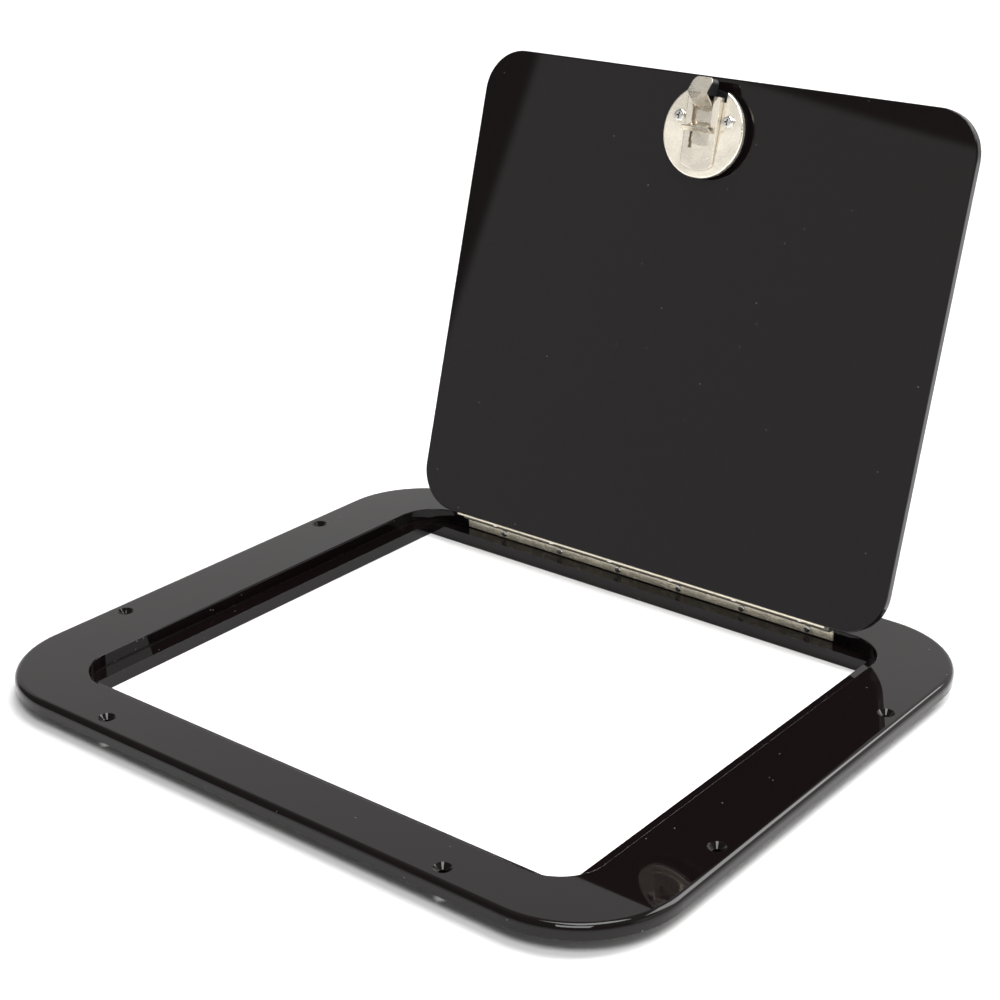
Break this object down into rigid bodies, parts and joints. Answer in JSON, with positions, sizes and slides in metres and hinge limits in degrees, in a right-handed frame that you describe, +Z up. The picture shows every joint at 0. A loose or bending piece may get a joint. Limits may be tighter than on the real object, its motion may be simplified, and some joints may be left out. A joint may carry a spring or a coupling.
{
  "type": "deck hatch",
  "caption": "Low-profile rectangular deck hatch with a bolt-down black frame and a lift-up lid on a piano hinge, held by a flush slam latch.",
  "frame": {"origin": "centre of the clear opening on the deck, the plane of the flange's underside", "axes": "+X along the hinge, +Y from the latch side to the hinge side, +Z up out of the deck"},
  "size_m": [0.526, 0.5029, 0.3787],
  "materials": {
    "gloss_sheet": "gloss",
    "stainless": "polished",
    "stainless_latch": "satin",
    "spring_steel": "satin",
    "black_nylon": "satin",
    "gasket_rubber": "matte"
  },
  "bodies": {
    "frame": {"frame_plate": "gloss_sheet", "ledge_front": "gloss_sheet", "ledge_back": "gloss_sheet", "ledge_left": "gloss_sheet", "ledge_right": "gloss_sheet", "hinge_frame_leaf": "stainless", "hinge_frame_screws": "stainless", "hinge_pin": "stainless"},
    "lid": {"lid": "gloss_sheet", "hinge_lid_leaf": "stainless", "hinge_lid_screws": "stainless", "latch_body": "black_nylon", "latch_gasket": "gasket_rubber", "latch_dish": "stainless_latch", "handle_pin": "stainless", "handle_spring": "spring_steel", "back_plate": "stainless_latch", "bolt_guide": "stainless_latch", "latch_screws": "stainless", "bolt_spring": "spring_steel"},
    "handle": {"pull_handle": "stainless_latch"},
    "bolt": {"bolt": "stainless_latch", "bolt_pad": "black_nylon"}
  },
  "joints": [
    {"name": "lid_hinge", "type": "hinge", "parent": "frame", "child": "lid", "pos_m": [0, 0.1829, 0.0119], "axis": [1, 0, 0], "range_deg": [0, 105]},
    {"name": "handle_lift", "type": "hinge", "parent": "lid", "child": "handle", "pos_m": [0, 0.26334, 0.33644], "axis": [1, 0, 0], "range_deg": [0, 35]},
    {"name": "bolt_slide", "type": "slide", "parent": "lid", "child": "bolt", "axis": [0, -0.2588, -0.9659], "range_m": [0, 0.007], "stiffness_N_per_m": 60, "springref_m": -0.004, "deforming": ["bolt_spring"]}
  ],
  "couplings": [
    {"joint": "handle_lift", "follows": "bolt_slide", "rad_per_m": 87}
  ]
}
